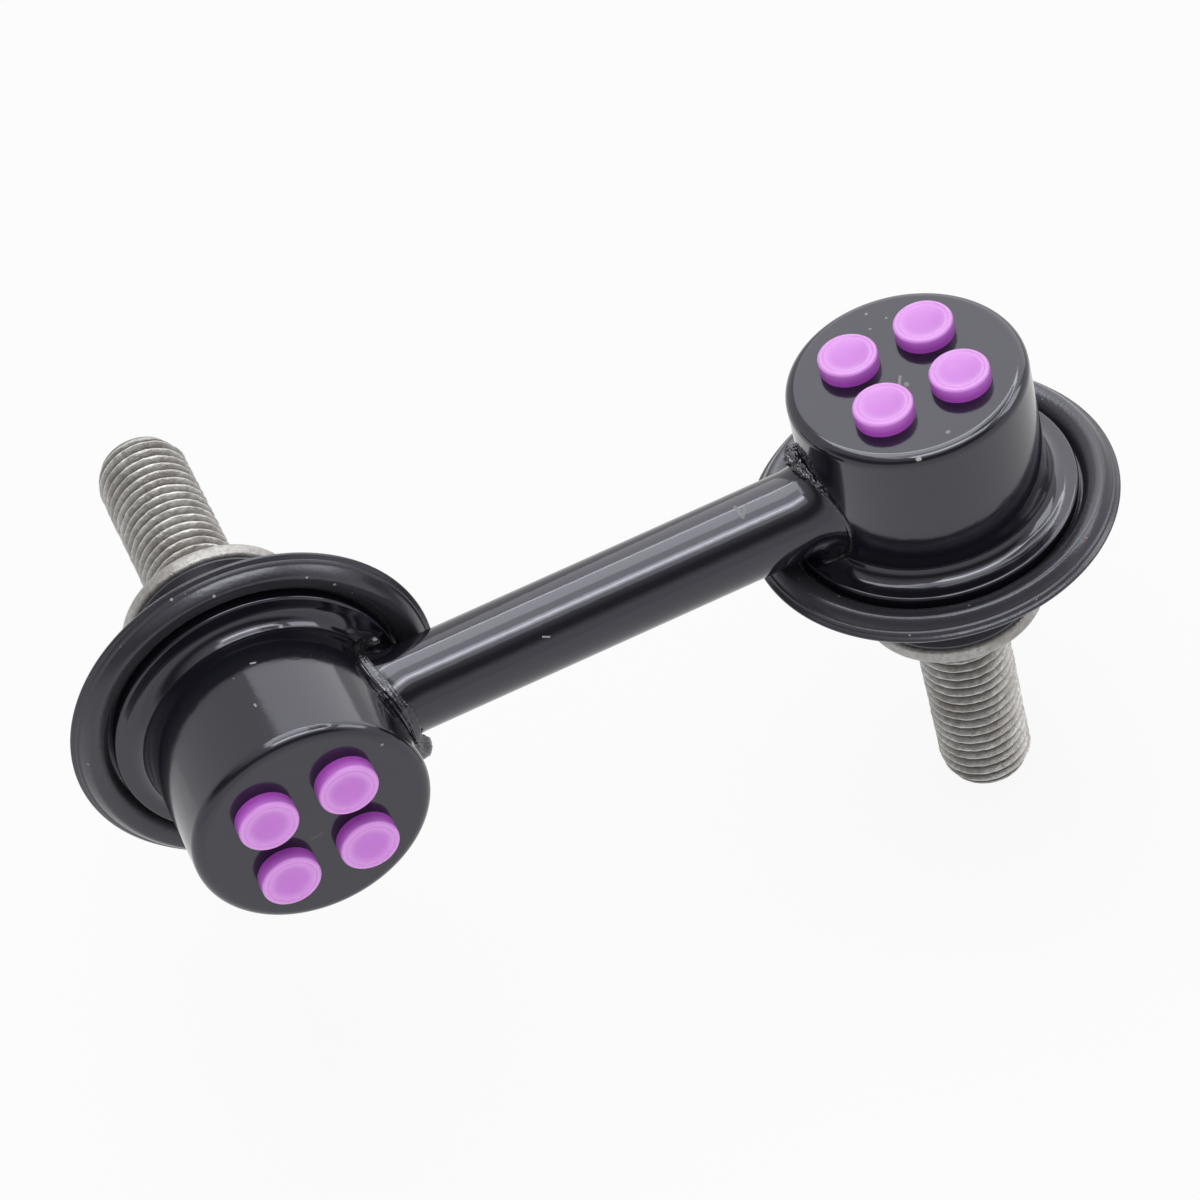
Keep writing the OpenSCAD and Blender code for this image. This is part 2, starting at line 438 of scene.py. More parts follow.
def thread_tree():
    """A right-hand screw thread along +Z: a grid whose rows follow the helix."""
    tree, given = geometry_tree("screw_thread", (
        ("Outside Radius", "Float"), ("Pitch", "Float"), ("Depth", "Float"), ("Length", "Float"),
        ("Tip Radius", "Float"), ("Tip Slope", "Float"), ("Wear", "Float"), ("Seed", "Float"),
        ("Steps Around", "Int"), ("Steps Along", "Int"), ("Turns", "Float"), ("Finish", "Material")),
        False)
    grid = put(tree, "GeometryNodeMeshGrid", {
        "Size X": 1, "Size Y": 1, "Vertices X": given["Steps Around"],
        "Vertices Y": given["Steps Along"]})
    flat = position(tree)
    around = maths(tree, "ADD", flat["X"], 0.5)
    along = maths(tree, "ADD", flat["Y"], 0.5)

    turns = maths(tree, "SUBTRACT", maths(tree, "MULTIPLY_ADD", along, given["Turns"], around), 1.0)
    raised = maths(tree, "MULTIPLY", turns, given["Pitch"])
    height = maths(tree, "MINIMUM", maths(tree, "MAXIMUM", raised, 0.0), given["Length"])
    phase = maths(tree, "FRACT", maths(tree, "SUBTRACT",
                                       maths(tree, "DIVIDE", height, given["Pitch"]), around))
    ridge = maths(tree, "ABSOLUTE", maths(tree, "MULTIPLY_ADD", phase, 2.0, -1.0))
    crest = spread(tree, ridge, *FLANK)
    fall = maths(tree, "MULTIPLY", maths(tree, "SUBTRACT", 1.0, crest), given["Depth"])
    radius = maths(tree, "SUBTRACT", given["Outside Radius"], fall)
    left_over = maths(tree, "SUBTRACT", given["Length"], height)
    chamfer = maths(tree, "MULTIPLY_ADD", left_over, given["Tip Slope"], given["Tip Radius"])
    radius = maths(tree, "MINIMUM", radius, chamfer)
    angle = maths(tree, "MULTIPLY", around, 2 * math.pi)
    patches = noise(tree, {
        "Vector": on_circle(tree, WEAR_CIRCLE, angle, height), "W": given["Seed"],
        "Scale": WEAR_SCALE, "Detail": WEAR_DETAIL}, noise_dimensions="4D")
    worn = maths(tree, "MULTIPLY", spread(tree, patches, *WEAR_BAND), given["Wear"])
    radius = maths(tree, "SUBTRACT", radius, maths(tree, "MULTIPLY", worn, crest))
    shape = put(tree, "GeometryNodeSetPosition", {
        "Geometry": store(tree, grid.outputs["Mesh"], "crest", crest),
        "Position": on_circle(tree, radius, angle, height)})
    merge = put(tree, "GeometryNodeMergeByDistance", {
        "Geometry": shape.outputs["Geometry"], "Distance": THREAD_MERGE})
    end_tree(tree, merge.outputs["Geometry"], given["Finish"])
    return tree


def bead_tree():
    """A weld bead along a path, with streaks and lumps where the path's roughness says so."""
    tree, given = geometry_tree("weld_bead", (
        ("Bead Radius", "Float"), ("Streak Height", "Float"), ("Streak Length", "Float"),
        ("Lump Height", "Float"), ("Grain", "Float"), ("Seed", "Float"), ("Points", "Int"),
        ("Finish", "Material")), True)
    path = put(tree, "GeometryNodeMeshToCurve", {"Mesh": given["Geometry"]})
    even = put(tree, "GeometryNodeResampleCurve", {
        "Curve": path.outputs["Curve"], "Count": given["Points"]})
    run = store(tree, even.outputs["Curve"], "run",
                put(tree, "GeometryNodeSplineParameter").outputs["Length"])
    profile = put(tree, "GeometryNodeCurvePrimitiveCircle", {
        "Resolution": BEAD_SIDES, "Radius": given["Bead Radius"]}, mode="RADIUS")
    turn = store(tree, profile.outputs["Curve"], "turn",
                 put(tree, "GeometryNodeSplineParameter").outputs["Factor"])
    tube = put(tree, "GeometryNodeCurveToMesh", {"Curve": run, "Profile Curve": turn})

    def named(label):
        return put(tree, "GeometryNodeInputNamedAttribute", {"Name": label},
                   data_type="FLOAT").outputs["Attribute"]

    def waves(detail, **place):
        value = noise(tree, {"Scale": given["Grain"], "W": given["Seed"], "Detail": detail, **place},
                      noise_dimensions="4D")
        return maths(tree, "SUBTRACT", value, 0.5)

    angle = maths(tree, "MULTIPLY", named("turn"), 2 * math.pi)
    lay = put(tree, "ShaderNodeCombineXYZ", {
        "X": maths(tree, "DIVIDE", named("run"), given["Streak Length"]),
        "Y": maths(tree, "COSINE", angle), "Z": maths(tree, "SINE", angle)})
    streaks = waves(STREAK_DETAIL, Vector=lay.outputs[0])
    lumps = maths(tree, "MULTIPLY", waves(LUMP_DETAIL), given["Lump Height"])
    height = maths(tree, "MULTIPLY_ADD", streaks, given["Streak Height"], lumps)
    height = maths(tree, "MULTIPLY", height, named("rough"))
    height = maths(tree, "ADD", height, named("swell"))
    lift = vector_maths(tree, "SCALE", put(tree, "GeometryNodeInputNormal").outputs[0], scale=height)
    shape = put(tree, "GeometryNodeSetPosition", {
        "Geometry": tube.outputs["Mesh"], "Offset": lift[0]})
    end_tree(tree, shape.outputs["Geometry"], given["Finish"])
    return tree


def peg_tree():
    """Pegs on a circle, the first of them half a right angle from the rod."""
    tree, given = geometry_tree("staked_pegs", (
        ("Circle Radius", "Float"), ("Count", "Int"), ("Foot", "Float"), ("Head", "Float"),
        ("Finish", "Material")), True)
    # rise runs from 0 at a peg's foot to 1 at its head; the resin lays its painted shade and painted
    # highlight by it.
    rise = spread(tree, position(tree)["Z"], given["Foot"], given["Head"])
    peg = store(tree, given["Geometry"], "rise", rise)
    ring = put(tree, "GeometryNodeMeshCircle", {
        "Vertices": given["Count"], "Radius": given["Circle Radius"]})
    turned = put(tree, "GeometryNodeTransform", {
        "Rotation": (0, 0, math.pi / 4), "Geometry": ring.outputs["Mesh"]})
    pegs = put(tree, "GeometryNodeInstanceOnPoints", {
        "Points": turned.outputs["Geometry"], "Instance": peg})
    end_tree(tree, pegs.outputs["Instances"], given["Finish"])
    return tree


# Shader groups

SPECK_LEAST = 0.3
SPECK_EDGE = 0.5
CHIP_GRAIN = 4500
CHIP_CORE = 0.7


def shader_group(name, inputs, outputs):
    """A shader group with named sockets; returns the tree, its inputs and its output node."""
    tree = bpy.data.node_groups.new(name, "ShaderNodeTree")
    for label, kind in inputs:
        tree.interface.new_socket(label, in_out="INPUT", socket_type="NodeSocket" + kind)
    for label in outputs:
        tree.interface.new_socket(label, in_out="OUTPUT", socket_type="NodeSocketFloat")
    return tree, put(tree, "NodeGroupInput").outputs, put(tree, "NodeGroupOutput")


def specks_group():
    """Dust: small round specks, some cells only."""
    tree, given, result = shader_group("dust_specks", (
        ("Vector", "Vector"), ("Density", "Float"), ("Share", "Float"), ("Size", "Float")), ("Mask",))
    cells = put(tree, "ShaderNodeTexVoronoi", {
        "Vector": given["Vector"], "Scale": given["Density"]}).outputs
    draw = put(tree, "ShaderNodeSeparateColor", {0: cells["Color"]}).outputs
    chosen = maths(tree, "LESS_THAN", draw[0], given["Share"])
    size = maths(tree, "MULTIPLY", given["Size"], maths(tree, "ADD", draw[1], SPECK_LEAST))
    inside = maths(tree, "SUBTRACT", 1.0, maths(tree, "DIVIDE", cells["Distance"], size), clamp=True)
    soft = spread(tree, inside, 0.0, SPECK_EDGE)
    set_inputs(tree, result, {"Mask": maths(tree, "MULTIPLY", soft, chosen)})
    return tree


def skin_group():
    """A coat's skin: fine orange peel as a height, and slow cloudy changes."""
    tree, given, result = shader_group("coat_skin", (
        ("Vector", "Vector"), ("Peel Scale", "Float"), ("Cloud Scale", "Float")), ("Height", "Cloud"))
    for label, scale, detail in (("Height", "Peel Scale", 2.0), ("Cloud", "Cloud Scale", 5.0)):
        set_inputs(tree, result, {label: noise(tree, {
            "Vector": given["Vector"], "Scale": given[scale], "Detail": detail})})
    return tree


def chip_group():
    """A ragged chip or scratch along a short stroke."""
    tree, given, result = shader_group("chip", (
        ("Vector", "Vector"), ("Start", "Vector"), ("Stroke", "Vector"), ("Radius", "Float")),
        ("Mask",))
    edge = noise(tree, {"Vector": given["Vector"], "Scale": CHIP_GRAIN})
    offset = vector_maths(tree, "SUBTRACT", given["Vector"], given["Start"])["Vector"]
    along = vector_maths(tree, "DOT_PRODUCT", offset, given["Stroke"])["Value"]
    length = vector_maths(tree, "DOT_PRODUCT", given["Stroke"], given["Stroke"])["Value"]
    share = maths(tree, "DIVIDE", along, length, clamp=True)
    nearest = vector_maths(tree, "SCALE", given["Stroke"], scale=share)["Vector"]
    away = vector_maths(tree, "DISTANCE", offset, nearest)["Value"]
    ragged = maths(tree, "DIVIDE", maths(tree, "DIVIDE", away, given["Radius"]),
                   maths(tree, "ADD", edge, 0.5))
    set_inputs(tree, result, {"Mask": spread(tree, ragged, 1.0, CHIP_CORE)})
    return tree


GROUPS = {"specks": specks_group(), "skin": skin_group(), "chip": chip_group()}


# Materials

PAINT_GLOSS = (0.88, 0.88, 1.0, 1.0)
PAINT = (0.006, 0.006, 0.0095), (0.0095, 0.0095, 0.015)
PAINT_DUST = (0.32, 0.3, 0.27)
PAINT_MARK = (0.4, 0.39, 0.37)
WELD = (0.005, 0.005, 0.006), (0.016, 0.016, 0.018)
RUBBER = (0.022, 0.022, 0.028), (0.036, 0.036, 0.044)
RUBBER_DUST = (0.5, 0.47, 0.4)
RUST = (0.4, 0.2, 0.08)
RESIN = (0.66, 0.225, 0.79), (0.74, 0.285, 0.85)
# Painted shade at a peg's foot and a painted highlight at its rim.
RESIN_FOOT_PAINTED_SHADE = (0.56, 0.1, 0.68)
RESIN_RIM_PAINTED_HIGHLIGHT = (0.88, 0.45, 0.96)
STEEL = (0.4, 0.39, 0.375), (0.72, 0.705, 0.685)
STEEL_STAIN = (0.27, 0.24, 0.215)
# Painted shade: the near-black colour laid into the thread's roots.
STEEL_ROOT_PAINTED_SHADE = (0.075, 0.065, 0.058)
BALL_STEEL = (0.52, 0.52, 0.51), (0.62, 0.62, 0.6)
RING_STEEL = (0.36, 0.37, 0.38), (0.46, 0.46, 0.46)
CLOUD_BAND = (0.3, 0.7)
BUMP_DEPTH = 0.0002


def new_finish(name):
    """A material; returns it, its tree, its Principled node and the object coordinates."""
    finish = bpy.data.materials.new(name)
    finish.use_nodes = True
    tree = finish.node_tree
    shader = next(n for n in tree.nodes if n.type == "BSDF_PRINCIPLED")
    return finish, tree, shader, put(tree, "ShaderNodeTexCoord").outputs["Object"]


def use_group(tree, name, vector, **values):
    """Places a shader group with its own values, and returns its outputs."""
    inputs = {label.replace("_", " "): value for label, value in values.items()}
    return put(tree, "ShaderNodeGroup", {"Vector": vector, **inputs}, node_tree=GROUPS[name]).outputs


def mix_colour(tree, share, first, second):
    """Mixes two colours, given as sockets or values."""
    node = put(tree, "ShaderNodeMix", data_type="RGBA")
    share_input, first_input, second_input, colour_output = 0, 6, 7, 2
    colours = [(*c, 1.0) if isinstance(c, tuple) else c for c in (first, second)]
    set_inputs(tree, node, {share_input: share, first_input: colours[0], second_input: colours[1]})
    return node.outputs[colour_output]


def lay_over(tree, colour, mask, strength, over):
    """Lays a colour over another where a mask says so."""
    return mix_colour(tree, maths(tree, "MULTIPLY", mask, strength), colour, over)


def cloudy(tree, skin, low=0.0, high=1.0):
    """A value that follows the slow changes of a skin."""
    return spread(tree, skin["Cloud"], *CLOUD_BAND, low, high)


def bump(tree, shader, height, strength, distance=BUMP_DEPTH):
    """Feeds a height to the shader's normal."""
    node = put(tree, "ShaderNodeBump", {"Strength": strength, "Distance": distance, "Height": height})
    set_inputs(tree, shader, {"Normal": node.outputs["Normal"]})


def black_paint(name, marks):
    """Glossy black dip coat with faint orange peel, a little dust, and small chips and scratches."""
    finish, tree, shader, where = new_finish(name)
    skin = use_group(tree, "skin", where, Peel_Scale=700.0, Cloud_Scale=70.0)
    dust = use_group(tree, "specks", where, Density=420.0, Share=0.03, Size=0.09)["Mask"]
    colour = lay_over(tree, mix_colour(tree, skin["Cloud"], *PAINT), dust, 0.6, PAINT_DUST)
    added_rough = 0.4
    rough = maths(tree, "MULTIPLY_ADD", dust, added_rough, cloudy(tree, skin, 0.08, 0.13))
    for start, end, radius, strength in marks:
        stroke = tuple((b - a) * MM for a, b in zip(start, end))
        mark = use_group(tree, "chip", where, Start=tuple(a * MM for a in start), Stroke=stroke,
                         Radius=radius * MM)["Mask"]
        colour = lay_over(tree, colour, mark, strength, PAINT_MARK)
        rough = maths(tree, "MULTIPLY_ADD", mark, added_rough, rough)
    set_inputs(tree, shader, {"Base Color": colour, "Roughness": rough, "IOR": 1.68,
                              "Specular Tint": PAINT_GLOSS})
    bump(tree, shader, skin["Height"], 0.05)
    return finish


def weld_flash():
    """The same coat over rough weld metal."""
    finish, tree, shader, where = new_finish("weld_flash")
    skin = use_group(tree, "skin", where, Peel_Scale=3200.0, Cloud_Scale=600.0)
    set_inputs(tree, shader, {
        "Base Color": mix_colour(tree, skin["Cloud"], *WELD),
        "Roughness": cloudy(tree, skin, 0.12, 0.32), "IOR": 1.8, "Specular Tint": PAINT_GLOSS})
    bump(tree, shader, skin["Height"], 0.2)
    return finish


def boot_rubber():
    """Moulded black rubber: soft sheen, fine grain, pale dust and specks of rust."""
    finish, tree, shader, where = new_finish("boot_rubber")
    skin = use_group(tree, "skin", where, Peel_Scale=2600.0, Cloud_Scale=110.0)
    dust = use_group(tree, "specks", where, Density=800.0, Share=0.2, Size=0.14)["Mask"]
    rust = use_group(tree, "specks", where, Density=600.0, Share=0.1, Size=0.15)["Mask"]
    colour = lay_over(tree, mix_colour(tree, skin["Cloud"], *RUBBER), dust, 0.75, RUBBER_DUST)
    set_inputs(tree, shader, {
        "Base Color": lay_over(tree, colour, rust, 0.8, RUST),
        "Roughness": maths(tree, "MULTIPLY_ADD", dust, 0.3, cloudy(tree, skin, 0.2, 0.28)),
        "Sheen Weight": 0.08, "Sheen Roughness": 0.3, "IOR": 1.6, "Specular Tint": PAINT_GLOSS})
    bump(tree, shader, skin["Height"], 0.1)
    return finish


def purple_resin():
    """Satin purple resin that light sinks into a little, with painted shade deepening a peg towards
    its foot and a painted highlight paling its rim.
    """
    finish, tree, shader, where = new_finish("purple_resin")
    skin = use_group(tree, "skin", where, Peel_Scale=1500.0, Cloud_Scale=260.0)
    rise = put(tree, "ShaderNodeAttribute", attribute_name="rise").outputs["Fac"]
    colour = mix_colour(tree, skin["Cloud"], *RESIN)
    # Painted shade: a darker, deeper purple down each peg towards its foot; painted highlight: a pale
    # rim.
    colour = mix_colour(tree, spread(tree, rise, 0.35, 0.9), RESIN_FOOT_PAINTED_SHADE, colour)
    colour = mix_colour(tree, spread(tree, rise, 0.84, 1.0, 0.0, 0.7), colour, RESIN_RIM_PAINTED_HIGHLIGHT)
    set_inputs(tree, shader, {
        "Base Color": colour, "Roughness": cloudy(tree, skin, 0.3, 0.4), "Subsurface Weight": 0.35,
        "Subsurface Radius": (1.0, 0.45, 1.0), "Subsurface Scale": 0.0006})
    bump(tree, shader, skin["Height"], 0.06)
    return finish


def stud_steel():
    """Dull grey phosphated steel, with painted shade darkening the thread's roots."""
    finish, tree, shader, where = new_finish("stud_steel")
    skin = use_group(tree, "skin", where, Peel_Scale=4200.0, Cloud_Scale=1800.0)
    dirt = use_group(tree, "skin", where, Peel_Scale=9000.0, Cloud_Scale=260.0)
    crest = put(tree, "ShaderNodeAttribute", attribute_name="crest").outputs["Fac"]
    colour = mix_colour(tree, cloudy(tree, skin), *STEEL)
    stain = spread(tree, dirt["Cloud"], 0.45, 0.7, 0.0, 0.55)
    colour = mix_colour(tree, stain, colour, STEEL_STAIN)
    # Painted shade in the thread's roots, by the crest attribute; the shank and the tip take a fixed
    # share of the same darkening.
    colour = lay_over(tree, colour, maths(tree, "SUBTRACT", 1.0, crest), 0.92, STEEL_ROOT_PAINTED_SHADE)
    set_inputs(tree, shader, {
        "Base Color": colour, "Roughness": cloudy(tree, skin, 0.42, 0.58), "Metallic": 0.7,
        "Sheen Weight": 0.3})
    bump(tree, shader, skin["Height"], 0.5)
    return finish


def inner_steel(name, shades, rough):
    """Bright steel inside the joint, with a fine grain."""
    finish, tree, shader, where = new_finish(name)
    skin = use_group(tree, "skin", where, Peel_Scale=2500.0, Cloud_Scale=240.0)
    set_inputs(tree, shader, {
        "Base Color": mix_colour(tree, skin["Cloud"], *shades),
        "Roughness": cloudy(tree, skin, rough, rough + 0.12), "Metallic": 1.0})
    bump(tree, shader, skin["Height"], 0.08, BUMP_DEPTH / 2)
    return finish


# Pieces

def cup_radius_at(height):
    """The cup's outer radius at a height, with the fillet up to the flange."""
    rise = min(height - (FLANGE_TOP - FILLET), FILLET * 0.97)
    if rise <= 0:
        return CUP_RADIUS
    return CUP_RADIUS + FILLET - math.sqrt(FILLET * FILLET - rise * rise)


def wall_distance(height, across):
    """How far from a joint's axis its cup's wall stands, at a height and a way across."""
    return math.sqrt(cup_radius_at(height) ** 2 - across ** 2)


def rod_end_rows(side):
    """Rings of points from the rod's end inside a cup's wall, along the flare to the plain bar."""
    place = PLACES[side]
    way = 1 if side == "left" else -1
    turns = [2 * math.pi * i / SEGMENTS for i in range(SEGMENTS)]

    def ring(radius, offset=None):
        points = []
        for turn in turns:
            height, across = math.cos(turn), math.sin(turn)
            distance = ROD_END
            if offset is not None:
                distance = offset + wall_distance(FLARE_RADIUS * height, FLARE_RADIUS * across)
            points.append(place @ Vector((way * distance, radius * across, radius * height)))
        return points

    rows = [ring(FLARE_RADIUS)]
    for i in range(FLARE_STEPS + 1):
        angle = math.pi / 2 * (1 - i / FLARE_STEPS)
        radius = FLARE_RADIUS - (FLARE_RADIUS - ROD_RADIUS) * math.cos(angle)
        rows.append(ring(radius, FLARE_LENGTH * (1 - math.sin(angle))))
    rows.append(ring(ROD_RADIUS, FLARE_LENGTH + FLARE_RUN))
    return rows


def rod_mesh():
    """The rod: a bar along X whose flared ends follow the walls of both cups."""
    rows = rod_end_rows("left")
    other = rod_end_rows("right")[::-1]
    shift = min(range(SEGMENTS), key=lambda i: (other[0][i] - rows[-1][0]).yz.length)
    rows += [row[shift:] + row[:shift] for row in other]
    verts, faces = [point for row in rows for point in row], []
    for a in range(len(rows) - 1):
        for i in range(SEGMENTS):
            j = (i + 1) % SEGMENTS
            low, high = a * SEGMENTS, (a + 1) * SEGMENTS
            faces.append((low + i, low + j, high + j, high + i))
    faces.append(list(range(SEGMENTS)))
    faces.append(list(range(len(verts) - SEGMENTS, len(verts))))
    mesh = bpy.data.meshes.new("rod")
    mesh.from_pydata(verts, [], faces)
    tidy_mesh(mesh)
    return mesh


def cup_mesh(side):
    """A drawn cup: closed face with a rounded edge, a wall, a filleted flange and a bore."""
    outline = [(0.0, FACE)]
    outline += arc((CUP_RADIUS - FACE_EDGE, FACE + FACE_EDGE), FACE_EDGE, -90, 0, 12)
    outline += arc((CUP_RADIUS + FILLET, FLANGE_TOP - FILLET), FILLET, 180, 90, 12)
    inner = FLANGE_RADIUS - FLANGE_EDGE
    outline += arc((inner, FLANGE_TOP + FLANGE_EDGE), FLANGE_EDGE, -90, 0, 6)
    outline += arc((inner, MOUTH - FLANGE_EDGE), FLANGE_EDGE, 0, 90, 6)
    outline += [(CUP_BORE, MOUTH)]
    outline += arc((CUP_BORE - INNER_CORNER, FLOOR + INNER_CORNER), INNER_CORNER, 0, -90, 6)
    outline += [(0.0, FLOOR)]
    mesh = lathe(side + "_cup", outline)
    mesh.transform(PLACES[side])
    tidy_mesh(mesh)
    return mesh


def seat_mesh(side, tree, finish):
    """The resin seat inside the cup, and the four pegs staked over outside its closed face."""
    lip = math.radians(SEAT_LIP_ANGLE)
    shell = [(0.0, SEAT_BOTTOM)]
    shell += arc((SEAT_RADIUS - INNER_CORNER, SEAT_BOTTOM + INNER_CORNER), INNER_CORNER,
                 -90, 0, 6)
    shell += [(SEAT_RADIUS, RING_TOP), (SEAT_FLANGE_RADIUS, RING_TOP),
              (SEAT_FLANGE_RADIUS, SEAT_TOP), (SEAT_MOUTH, SEAT_TOP)]
    for i in range(SOCKET_STEPS + 1):
        angle = lip + (math.pi - lip) * i / SOCKET_STEPS
        radius = SOCKET_RADIUS * math.sin(angle) if i < SOCKET_STEPS else 0.0
        shell.append((radius, BALL_HEIGHT + SOCKET_RADIUS * math.cos(angle)))
    body = lathe("seat_shell", shell, segments=SEAT_SEGMENTS)

    head = [(0.0, FACE + PEG_SINK), (PEG_RADIUS, FACE + PEG_SINK)]
    rim = PEG_RADIUS - PEG_EDGE
    head += arc((rim, PEG_TOP + PEG_EDGE), PEG_EDGE, 0, -90, 9)
    dip, crest = PEG_TOP + PEG_GROOVE_DEPTH, PEG_TOP + PEG_RING_DEPTH
    pull = PEG_GROOVE_PULL
    head += curve((rim, PEG_TOP), (rim - pull, PEG_TOP), (PEG_GROOVE + pull, dip),
                  (PEG_GROOVE, dip), 6)[1:]
    head += curve((PEG_GROOVE, dip), (PEG_GROOVE - pull, dip), (PEG_RING + pull, crest),
                  (PEG_RING, crest), 6)[1:]
    dish = PEG_TOP + PEG_DISH
    head += curve((PEG_RING, crest), (PEG_RING - PEG_RING_PULL, crest), (PEG_DISH_PULL, dish),
                  (0.0, dish), 18)[1:]
    peg = lathe("peg", head, segments=PEG_SEGMENTS)
    pegs = grow(tree, peg, {"Circle Radius": PEG_CIRCLE, "Count": PEG_COUNT, "Foot": FACE,
                            "Head": PEG_TOP, "Finish": finish})
    mesh = join_meshes(side + "_ball_seat", (body, pegs))
    mesh.transform(PLACES[side])
    tidy_mesh(mesh, sharp=50)
    return mesh


def weld_point(way, angle):
    """Where the rod's flare meets the cup, at an angle about the rod from the stud's side."""
    height, across = FLARE_RADIUS * math.cos(angle), FLARE_RADIUS * math.sin(angle)
    return Vector((way * wall_distance(height, across), across, height))


def weld_path(way, roughness, swelling, lean):
    """The closed line of the weld, with its roughness and swelling stored on its points."""
    points = []
    for i in range(WELD_POINTS):
        angle = 2 * math.pi * i / WELD_POINTS
        points.append(weld_point(way, angle) + Vector((way * lean(math.degrees(angle)), 0, 0)))
    edges = [(i, (i + 1) % WELD_POINTS) for i in range(WELD_POINTS)]
    mesh = bpy.data.meshes.new("weld_path")
    mesh.from_pydata(points, edges, [])
    for label, rule in (("rough", roughness), ("swell", swelling)):
        values = mesh.attributes.new(label, "FLOAT", "POINT").data
        for i in range(WELD_POINTS):
            values[i].value = rule(math.degrees(2 * math.pi * i / WELD_POINTS))
    return mesh


def bell(angle, centre, width):
    """A smooth hump about an angle, in degrees."""
    away = (angle - centre + 180) % 360 - 180
    return math.exp(-(away / width) ** 2)


def weld_mesh(side, tree, finish):
    """The ring of weld metal between rod and cup."""
    look = WELDS[side]
    path = weld_path(1 if side == "left" else -1, look["rough"], look["swell"], look["lean"])
    mesh = grow(tree, path, {
        "Bead Radius": BEAD_RADIUS, "Streak Height": look["streaks"],
        "Streak Length": look["streak"],
        "Lump Height": look["lumps"], "Grain": look["grain"], "Seed": look["seed"],
        "Points": BEAD_POINTS, "Finish": finish})
    mesh.transform(PLACES[side])
    tidy_mesh(mesh, sharp=60)
    return mesh


WELDS = {
    "left": {"streaks": 1.3, "streak": 12.0, "lumps": 0.2, "grain": 2.4, "seed": 3.7,
             "rough": lambda a: 0.3 + 0.8 * bell(a, 205, 45),
             "swell": lambda a: 0.6 * bell(a, 141, 16) + 0.3 * bell(a, 215, 55),
             "lean": lambda a: 1.1 * bell(a, 141, 18) + 0.3 * bell(a, 215, 60)},
    "right": {"streaks": 0.5, "streak": 1.2, "lumps": 1.1, "grain": 2.1, "seed": 4.7,
              "rough": lambda a: 0.08 + 1.1 * bell(a, 200, 45),
              "swell": lambda a: -0.34 + 0.54 * bell(a, 200, 45),
              "lean": lambda a: 0.55 * bell(a, 200, 45)},
}


def boot_mesh(side):
    """The rubber boot: a base under the ring, a rolled rim, a dome, a waist and a lip."""
    outline = [(BASE_RADIUS, BASE_TOP)]
    outline += curve((WELL_RADIUS, BASE_TOP), (WELL_RADIUS, BASE_TOP - RIM_PULLS[0]),
                     (CREST_RADIUS - RIM_PULLS[1], RIM_TOP), (CREST_RADIUS, RIM_TOP), 14)
    outline += arc((CREST_RADIUS, RIM_TOP + CREST_ROUND), CREST_ROUND, -90, SLOPE_TOP - 90, 8)[1:]
    top, end = math.radians(SLOPE_TOP), math.radians(SLOPE_END)
    crest = outline[-1]
    leave = (crest[0] + SLOPE_PULL * math.cos(top), crest[1] + SLOPE_PULL * math.sin(top))
    arrive = (PARTING[0] - SLOPE_PULL * math.cos(end), PARTING[1] - SLOPE_PULL * math.sin(end))
    outline += curve(crest, leave, arrive, PARTING, 8)[1:-1]
    for step in range(FLASH_STEPS + 1):
        along = FLASH_WIDTH * step / FLASH_STEPS
        out = FLASH_HEIGHT * math.sin(math.pi * step / FLASH_STEPS) ** 2
        outline.append((PARTING[0] + along * math.cos(end) + out * math.sin(end),
                        PARTING[1] + along * math.sin(end) - out * math.cos(end)))
    edge = outline[-1]
    outline += curve(edge, (edge[0] + EDGE_PULL[0], edge[1] + EDGE_PULL[1]),
                     (BOOT_RADIUS, BELT - BELT_PULL), (BOOT_RADIUS, BELT), 8)[1:-1]
    dome = curve((BOOT_RADIUS, BELT), (BOOT_RADIUS, BELT + DOME_PULLS[0]),
                 (WAIST_RADIUS + DOME_PULLS[1], RING_TOP + 2 * BOOT_WALL),
                 (WAIST_RADIUS, WAIST), 40)
    outline += dome
    outline += curve((WAIST_RADIUS, WAIST), (WAIST_RADIUS - WAIST_PULL[0], WAIST + WAIST_PULL[1]),
                     (LIP_RADIUS - LIP_PULL[0], LIP_TOP - LIP_PULL[1]),
                     (LIP_RADIUS, LIP_TOP - 2 * LIP_EDGE), 12)[1:]
    outline += arc((LIP_RADIUS - LIP_EDGE, LIP_TOP - LIP_EDGE), LIP_EDGE, 0, 90, 6)
    outline += [(BOOT_BORE, LIP_TOP), (BOOT_BORE, WAIST + BORE_RUN)]
    inside = set_in(dome, BOOT_WALL)[INSIDE_FROM:]
    outline += inside[::-1]
    outline += [(inside[0][0], BASE_BOTTOM), (BASE_RADIUS, BASE_BOTTOM)]
    mesh = lathe(side + "_boot", outline, closed=True)
    mesh.transform(PLACES[side])
    tidy_mesh(mesh)
    return mesh


